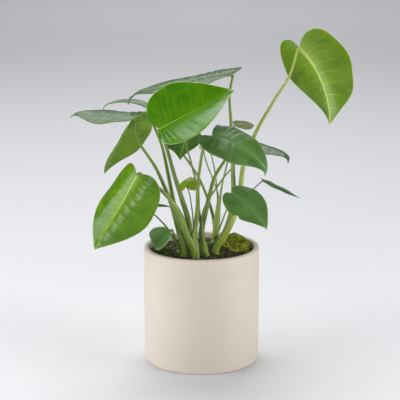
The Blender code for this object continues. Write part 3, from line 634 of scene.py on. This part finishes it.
# sweeps a ring along the points, as a grid rolled up; radiusAt takes the part of the way and the angle,
# where a quarter turn faces the upper, grooved side. The maps hold the way along and around, and the tone.
def sweepStem(bm, points, radiusAt, sides, slot, tone):
    veinLayer, edgeLayer = (bm.loops.layers.uv.get(name) or bm.loops.layers.uv.new(name)
                            for name in ("veins", "edges"))
    last = len(points) - 1
    grid = bmesh.ops.create_grid(bm, x_segments=last, y_segments=sides, size=1)
    lean = (points[-1] - points[0]).normalized()
    upper = Vector((0, 0, 1)) - lean * lean.z
    if upper.length < 0.05:
        upper = Vector((0, 1, 0))
    rings = []
    for i in range(last + 1):
        along = (points[min(i + 1, last)] - points[max(i - 1, 0)]).normalized()
        upper = (upper - along * upper.dot(along)).normalized()
        rings.append((upper.cross(along), upper.copy()))
    lengths = lengthsAlong(points)
    places = {}
    for vertex in grid["verts"]:
        i = round((vertex.co.x + 1) / 2 * last)
        angle = vertex.co.y * math.pi
        places[vertex] = (lengths[i], vertex.co.y)
        left, up = rings[i]
        ring = (left * math.cos(angle) + up * math.sin(angle)) * radiusAt(i / last, angle)
        vertex.co = metres(points[i] + ring)
    faces = list({face for vertex in grid["verts"] for face in vertex.link_faces})
    for face in faces:
        face.material_index = slot
        for loop in face.loops:
            length, around = places[loop.vert]
            loop[veinLayer].uv = (length, around + 7 * tone)
            loop[edgeLayer].uv = (tone, around)
    bmesh.ops.remove_doubles(bm, verts=grid["verts"], dist=0.001 * mm)
    return faces


# how yellow a leaf's petiole is, from 0 to 1
def stemTone(leaf):
    return leaf.get("tone", 0.35)


def closeEnds(bm):
    bmesh.ops.holes_fill(bm, edges=[edge for edge in bm.edges if edge.is_boundary], sides=0)


# the angle from a stem's upper side, from half a turn one way to half a turn the other
def fromTop(angle):
    return (angle - math.pi / 2 + math.pi) % (2 * math.pi) - math.pi


# waxy leaf cuticle: a thin gloss over green tissue, with a paler midrib, faint side veins and a thin margin;
# the underside is mostly paler and duller, because it has less wax. veinShare is how much the side veins show,
# and gloss the specular level, which is lower the more the wax dulls the leaf.
cuticles = {
    "fresh": {"deep": "#357000", "blade": "#4e8602", "heart": "#609808", "rib": "#a2cc48", "vein": "#78ac20",
              "margin": "#b4cf78", "veinShare": 0.4, "roughness": 0.28, "gloss": 0.5},
    "golden": {"deep": "#3a6800", "blade": "#588004", "heart": "#68920c", "rib": "#a3c63e", "vein": "#8cb22c",
               "margin": "#b9c878", "veinShare": 0.4, "roughness": 0.2, "gloss": 0.35},
    "deep": {"deep": "#40632a", "blade": "#567f3e", "heart": "#608a49", "rib": "#66904c", "vein": "#76994f",
             "margin": "#839f60", "veinShare": 0.2, "roughness": 0.38, "gloss": 0.45},
    "mature": {"deep": "#2c4f1e", "blade": "#3b642a", "heart": "#466e33", "rib": "#7f9a66", "vein": "#8ea37a",
               "margin": "#4a5638", "veinShare": 0.6, "roughness": 0.32, "gloss": 0.4},
    # the sunlit finish's bright yellow-green is painted light: a glow of light shining through the leaf
    "sunlit": {"deep": "#7c9c10", "blade": "#96b21c", "heart": "#a2ba2c", "rib": "#b4cc58", "vein": "#aac444",
               "margin": "#c0c888", "veinShare": 0.35, "roughness": 0.34, "gloss": 0.3},
    "pale": {"deep": "#5c7c34", "blade": "#6f8f42", "heart": "#7f9c50", "rib": "#a6b878", "vein": "#98ae6a",
             "margin": "#a09c70", "veinShare": 0.35, "roughness": 0.38, "gloss": 0.3},
}
undersides = {
    "fresh": {"deep": "#2f5a0c", "blade": "#426e14", "heart": "#4f7a20", "rib": "#86aa4c", "vein": "#74983c",
              "margin": "#a4bc70", "veinShare": 0.6, "roughness": 0.46, "gloss": 0.1},
    "golden": {"deep": "#5f8422", "blade": "#739a2c", "heart": "#87ac3e", "rib": "#a9c468", "vein": "#96b452",
               "margin": "#6e7848", "veinShare": 0.5, "roughness": 0.42, "gloss": 0.5},
    "deep": {"deep": "#46703a", "blade": "#557f46", "heart": "#628a52", "rib": "#8fae72", "vein": "#85a668",
             "margin": "#8fa86c", "veinShare": 0.6, "roughness": 0.5, "gloss": 0.2},
    "mature": {"deep": "#4e7642", "blade": "#5d8450", "heart": "#6a8f5a", "rib": "#93b07a", "vein": "#8caa72",
               "margin": "#9aae80", "veinShare": 0.6, "roughness": 0.5, "gloss": 0.2},
    # the sunlit underside's bright yellow-green is painted light: a glow of light shining through the leaf
    "sunlit": {"deep": "#54780f", "blade": "#6a8d1a", "heart": "#7b9a26", "rib": "#bccf6e", "vein": "#a0b84c",
               "margin": "#b4be78", "veinShare": 0.5, "roughness": 0.36, "gloss": 0.3},
    "pale": {"deep": "#8f9c62", "blade": "#a6b078", "heart": "#b2ba86", "rib": "#c8cea0", "vein": "#b8c08e",
             "margin": "#8c8058", "veinShare": 0.4, "roughness": 0.42, "gloss": 0.25},
}
veinMap = {
    "veinWidth": 0.075, "fineVeins": 5, "ribBase": 1.5, "ribTip": 0.35, "marginWidth": 0.55,
    "netCell": 1.9, "mottle": 19, "reliefDepth": 0.06, "glow": 0.3, "glowDepth": (0.7, 1.0, 0.15),
    "heartShare": 0.6, "fineShare": 0.16, "netShare": 0.07, "ribShare": 0.85, "marginShare": 0.9,
}


# the map "veins" holds the place counted in side veins and the reach from the midrib, and "edges" the part of
# the way along and the distance to the margin, both distances in millimetres
def makeLeafMaterial(name, look):
    material, shader = newMaterial(name, look["roughness"])
    shader.inputs["Specular IOR Level"].default_value = look["gloss"]
    shader.inputs["Subsurface Weight"].default_value = veinMap["glow"]
    shader.inputs["Subsurface Radius"].default_value = veinMap["glowDepth"]
    shader.inputs["Subsurface Scale"].default_value = mm
    add = partial(addNode, material)
    point = add("TexCoord")["Object"]
    place, reach, _ = add("SeparateXYZ", add("UVMap", uv_map="veins"))
    along, margin, _ = add("SeparateXYZ", add("UVMap", uv_map="edges"))
    half = add("Math", (reach, margin), operation="ADD")[0]
    half = add("Math", (half, 0.01), operation="ADD")[0]  # never zero, because it divides
    out = add("Math", (reach, half), operation="DIVIDE")[0]

    toVein = add("Math", (place, 0.5), operation="PINGPONG")[0]
    sideVein = add("MapRange", (toVein, 0, veinMap["veinWidth"], 1, 0), **eased)[0]
    sideVein = add("Math", (sideVein, add("MapRange", (out, 0.35, 0.95, 1, 0), **eased)[0]), **times)[0]
    fine = add("Math", (add("Math", (place, veinMap["fineVeins"]), **times)[0], 0.5), operation="PINGPONG")[0]
    fine = add("MapRange", (fine, 0.05, 0.4, 1, 0), **eased)[0]
    broken = add("TexNoise", lumpInputs(point, 6, 2))[0]
    broken = add("MapRange", (broken, 0.35, 0.65, 0.25, 1), **eased)[0]
    fine = add("Math", (fine, broken), **times)[0]
    ribWidth = add("MapRange", (along, 0, 1, veinMap["ribBase"], veinMap["ribTip"]), **eased)[0]
    rib = add("Math", (1, add("Math", (reach, ribWidth), operation="DIVIDE")[0]), operation="SUBTRACT")[0]
    rib = add("MapRange", (rib, 0, 0.45, 0, 1), **eased)[0]
    cells = {"Vector": point, "Scale": 1 / (veinMap["netCell"] * mm)}
    net = add("TexVoronoi", cells, feature="DISTANCE_TO_EDGE")[0]
    net = add("MapRange", (net, 0, 0.12, 1, 0), **eased)[0]
    heart = add("MapRange", (out, 0, 0.5, 1, 0), **eased)[0]
    line = add("MapRange", (margin, 0.5 * veinMap["marginWidth"], veinMap["marginWidth"], 1, 0), **eased)[0]

    mottle = add("TexNoise", lumpInputs(point, veinMap["mottle"], 4))[0]
    mottle = add("MapRange", (mottle, 0.3, 0.7, 0, 1), **eased)[0]
    colour = add("Mix", {0: mottle, 6: linear(look["deep"]), 7: linear(look["blade"])}, **ofColours)[2]
    for part, share, kind in ((heart, veinMap["heartShare"], "heart"), (fine, veinMap["fineShare"], "vein"),
                              (net, veinMap["netShare"], "vein"), (sideVein, look["veinShare"], "vein"),
                              (rib, veinMap["ribShare"], "rib"), (line, veinMap["marginShare"], "margin")):
        part = add("Math", (part, share), **times)[0]
        colour = add("Mix", {0: part, 6: colour, 7: linear(look[kind])}, **ofColours)[2]
    grain = add("TexNoise", lumpInputs(point, 1.6, 3))[0]
    height = add("Math", (grain, add("Math", (fine, -0.25), **times)[0]), operation="ADD")[0]
    dress(material, shader, colour, height, veinMap["reliefDepth"])
    return material


# petiole skin: smooth and fleshy, finely striped along its length, olive on some and pale near the soil
petioleLook = {
    "green": "#7e9e40", "greenStripe": "#48681e", "olive": "#a5b050", "oliveStripe": "#84923a",
    "foot": "#8aa648", "footTop": 185, "roughness": 0.34, "sides": 16, "step": 2.6, "taper": 1.4,
    "stripes": 11, "stripeLength": 20, "stripeDepth": 0.25,
    "groove": (0.1, 0.38),  # (depth, spread) along the upper side, as a part of the radius and as an angle
    "sheathPart": 0.38, "sheathFade": 0.12,  # the part of a petiole that is a channelled sheath, and its end
    "sheathGroove": 0.22, "sheathWings": (0.14, 0.75, 0.25),  # the wings' (height, angle from the top, spread)
}


def makePetioleMaterial():
    material, shader = newMaterial("fleshy petiole skin", petioleLook["roughness"])
    add = partial(addNode, material)
    around = add("UVMap", uv_map="veins")[0]
    tone = add("SeparateXYZ", add("UVMap", uv_map="edges"))[0]
    drawnOut = add("Mapping", {0: around, 3: (1 / petioleLook["stripeLength"], petioleLook["stripes"], 1)})[0]
    stripes = add("TexNoise", {"Vector": drawnOut, "Scale": 1.0, "Detail": 3.0})[0]
    shares = add("MapRange", (stripes, 0.35, 0.65, 0, 1), **eased)[0]
    green = {0: shares, 6: linear(petioleLook["greenStripe"]), 7: linear(petioleLook["green"])}
    olive = {0: shares, 6: linear(petioleLook["oliveStripe"]), 7: linear(petioleLook["olive"])}
    skin = {0: tone, 6: add("Mix", green, **ofColours)[2], 7: add("Mix", olive, **ofColours)[2]}
    skin = add("Mix", skin, **ofColours)[2]
    height = add("SeparateXYZ", (add("TexCoord")["Object"],))[2]
    low = add("MapRange", (height, soil["top"] * mm, petioleLook["footTop"] * mm, 0.5, 0), **eased)[0]
    colour = add("Mix", {0: low, 6: skin, 7: linear(petioleLook["foot"])}, **ofColours)[2]
    dress(material, shader, colour, stripes, petioleLook["stripeDepth"])
    return material


petioleMaterial = makePetioleMaterial()
cuticleMaterials, undersideMaterials = (
    {name: makeLeafMaterial(name + suffix, look) for name, look in looks.items()}
    for looks, suffix in ((cuticles, " waxy leaf cuticle"), (undersides, " leaf underside")))


def makeBladeSheet(leaf):
    place, line = bladePlace(leaf), ribLine(leaf)
    rows = leaf["veins"] * blade["rowsPerVein"]
    columns = blade["columns"] if leaf["width"] > blade["smallWidth"] else blade["smallColumns"]
    bm = bmesh.new()
    veinLayer, edgeLayer = bm.loops.layers.uv.new("veins"), bm.loops.layers.uv.new("edges")
    weights = bm.verts.layers.deform.new()
    bmesh.ops.create_grid(bm, x_segments=rows, y_segments=columns, size=1)
    places, flatSide = {}, {}
    for vertex in bm.verts:
        along = (vertex.co.x + 1) / 2
        across = math.copysign(abs(vertex.co.y) ** 1.5, vertex.co.y)
        out, side = abs(across), math.copysign(1, across)
        reach = flatPoint(leaf, along, out, side)[1] * leaf["width"] / 2
        margin = flatPoint(leaf, along, 1, side)[1] * leaf["width"] / 2 - reach
        rib = (blade["ribThickness"] - blade["thickness"]) * (1 - along) * bell(reach, blade["ribSpread"])
        raised = bell(veinDistance(leaf, along, side), blade["veinSpread"])
        sideVein = blade["veinHeight"] * raised * (1 - out)
        thin = blade["thickness"] + (blade["marginThickness"] - blade["thickness"]) * out ** 2
        vertex[weights][0] = clamp((thin + rib + sideVein) / blade["ribThickness"])
        places[vertex] = (along, reach, margin)
        flatSide[vertex] = across
        vertex.co = metres(place @ bladePoint(leaf, line, along, across))
    for face in bm.faces:
        side = math.copysign(1, sum(flatSide[loop.vert] for loop in face.loops))
        for loop in face.loops:
            along, reach, margin = places[loop.vert]
            loop[veinLayer].uv = (veinPlace(leaf, along, side), reach)
            loop[edgeLayer].uv = (along, margin)
    mesh = bpy.data.meshes.new("sheet")
    bm.to_mesh(mesh)
    bm.free()
    sheet = bpy.data.objects.new("sheet", mesh)
    bpy.context.scene.collection.objects.link(sheet)
    sheet.vertex_groups.new(name="thickness")
    return sheet


# gives the sheet its thickness, with the underside in the second material, and returns it as a bmesh
def thickened(sheet):
    for _ in range(3):
        sheet.data.materials.append(None)
    solidify = sheet.modifiers.new("Thickness", "SOLIDIFY")
    solidify.thickness = blade["ribThickness"] * mm
    solidify.offset = -1
    solidify.vertex_group = "thickness"
    solidify.use_quality_normals = True
    solidify.material_offset = 1
    solidify.material_offset_rim = 1
    bpy.context.view_layer.update()
    mesh = bpy.data.meshes.new_from_object(sheet.evaluated_get(bpy.context.evaluated_depsgraph_get()))
    bm = bmesh.new()
    bm.from_mesh(mesh)
    bpy.data.objects.remove(sheet, do_unlink=True)
    bpy.data.meshes.remove(mesh)
    return bm


def makeLeaf(node, leaf):
    bm = thickened(makeBladeSheet(leaf))
    path, joint = petiolePath(leaf)
    total = lengthsAlong(path)[-1]
    neck = leaf["neck"]
    points = stretchOf(path, joint - blade["stalkTop"], total, 16)
    swell = blade["stalkSwell"]

    def radiusAt(part, angle):
        step = part * (len(swell) - 1)
        i = min(int(step), len(swell) - 2)
        radius = neck * (swell[i] + (swell[i + 1] - swell[i]) * (step - i))
        return radius * (1 - 0.12 * bell(angle - math.pi / 2, 0.4))

    sweepStem(bm, points, radiusAt, petioleLook["sides"], 2, stemTone(leaf))
    closeEnds(bm)
    materials = [cuticleMaterials[leaf["finish"]], undersideMaterials[leaf["finish"]], petioleMaterial]
    finishPiece(node + "_blade", bm, node, materials)


for leafNode, leafEntry in leaves.items():
    makeLeaf(leafNode, leafEntry)
print("leaves grown:", len(leaves))


# bare sheaths that stand beside the petioles: (foot, top, radius)
bareSheaths = {
    "shoot_front": ((-10, -33, 150), (-11, -35, 178), 3.4),
    "shoot_front_left": ((-22, -28, 150), (-25, -29, 180), 3.0),
    "shoot_front_right": ((4, -25, 148), (4, -29, 164), 3.0),
    "shoot_right": ((19, -14, 148), (32, -11, 176), 3.6),
    "shoot_back": ((18, 42, 150), (23, 46, 206), 4.4),
}
sheathTaper, sheathHollow = 0.8, 0.3  # how much it narrows to its top, and is hollow on its upper side
# a crown from its underside to its top, as (height above the soil, part of its radius)
crownShape = [(-13, 0.7), (-8, 0.95), (-3, 1.0), (1, 0.9), (3.5, 0.65), (5.5, 0.2)]


def makeShoot(node):
    footX, footY, crownRadius = crownSpots[node]
    bm = bmesh.new()
    crown = [Vector((footX, footY, soil["top"] + height)) for height, _ in crownShape]

    def crownWidth(part, angle):
        return crownRadius * crownShape[round(part * (len(crownShape) - 1))][1]

    sweepStem(bm, crown, crownWidth, 24, 0, 0.5)
    for leaf in leaves.values():
        if leaf["shoot"] != node:
            continue
        path, joint = petiolePath(leaf)
        end = joint - blade["stalkTop"] + blade["stalkOverlap"]
        points = stretchOf(path, 0, end, max(12, round(end / petioleLook["step"])))

        def radiusAt(part, angle):
            radius = leaf["neck"] + (leaf["foot"] - leaf["neck"]) * (1 - part) ** petioleLook["taper"]
            sheathed = clamp((petioleLook["sheathPart"] - part) / petioleLook["sheathFade"])
            depth, spread = petioleLook["groove"]
            groove = (depth + petioleLook["sheathGroove"] * sheathed) * bell(fromTop(angle), spread)
            height, place, spread = petioleLook["sheathWings"]
            wings = height * sheathed * bell(abs(fromTop(angle)) - place, spread)
            return radius * (1 - groove + wings)

        sweepStem(bm, points, radiusAt, petioleLook["sides"], 0, stemTone(leaf))
    if node in bareSheaths:
        foot, top, radius = bareSheaths[node]
        foot, top = Vector(foot), Vector(top)
        points = [foot.lerp(top, i / 12) for i in range(13)]

        def sheathRadius(part, angle):
            return radius * (1 - sheathTaper * part ** 2.2) * (1 - sheathHollow * bell(fromTop(angle), 0.5))

        sweepStem(bm, points, sheathRadius, petioleLook["sides"], 0, 0.8)
    closeEnds(bm)
    bmesh.ops.recalc_face_normals(bm, faces=bm.faces)
    finishPiece(node + "_petioles", bm, node, [petioleMaterial])


for shootNode in crownSpots:
    makeShoot(shootNode)
print("petioles grown:", len(crownSpots), "shoots")


# a plain pale floor in a studio that is bright behind the plant and dark before it
studio = {
    "floorRadius": 12000, "floor": "#d6d7da", "behind": "#585a5e", "before": "#282a2c", "ambient": 0.8,
    # (name, place, aim, size, power in watts)
    "lights": [("left window", (-1450, -450, 700), (0, 0, 230), (1500, 1200), 25),
               ("right window", (1450, -500, 550), (0, 0, 230), (1000, 1000), 20.5),
               ("overhead", (-240, 1270, 2900), (0, 0, 230), (2600, 2000), 76),
               ("front strip", (-850, -2350, 380), (0, 0, 230), (700, 1100), 18),
               ("backdrop", (0, 5200, 3000), (0, 5300, 0), (3500, 2500), 86)],
}


def makeStudio():
    bm = bmesh.new()
    bmesh.ops.create_circle(bm, cap_ends=True, segments=64, radius=studio["floorRadius"] * mm)
    mesh = bpy.data.meshes.new("floor")
    bm.to_mesh(mesh)
    bm.free()
    material, shader = newMaterial("plain pale floor", 0.6)
    shader.inputs["Base Color"].default_value = linear(studio["floor"])
    mesh.materials.append(material)
    floor = bpy.data.objects.new("floor", mesh)
    bpy.context.scene.collection.objects.link(floor)
    for name, place, aim, (width, length), power in studio["lights"]:
        lamp = bpy.data.lights.new(name, "AREA")
        lamp.shape = "RECTANGLE"
        lamp.energy = power
        lamp.size, lamp.size_y = width * mm, length * mm
        light = bpy.data.objects.new(name, lamp)
        light.location = metres(place)
        light.rotation_euler = metres(Vector(aim) - Vector(place)).to_track_quat("-Z", "Y").to_euler()
        bpy.context.scene.collection.objects.link(light)
    world = bpy.data.worlds.new("studio")
    world.use_nodes = True
    background = world.node_tree.nodes["Background"]
    background.inputs["Strength"].default_value = studio["ambient"]
    add = partial(addNode, world)
    towards = add("SeparateXYZ", (add("TexCoord")["Generated"],))[1]
    share = add("MapRange", (towards, -0.7, 0.7, 0, 1), **eased)[0]
    surround = add("Mix", {0: share, 6: linear(studio["before"]), 7: linear(studio["behind"])}, **ofColours)[2]
    world.node_tree.links.new(surround, background.inputs["Color"])
    bpy.context.scene.world = world
    bpy.context.scene.view_settings.view_transform = "Standard"


makeStudio()
print("studio lit")


bpy.context.view_layer.update()
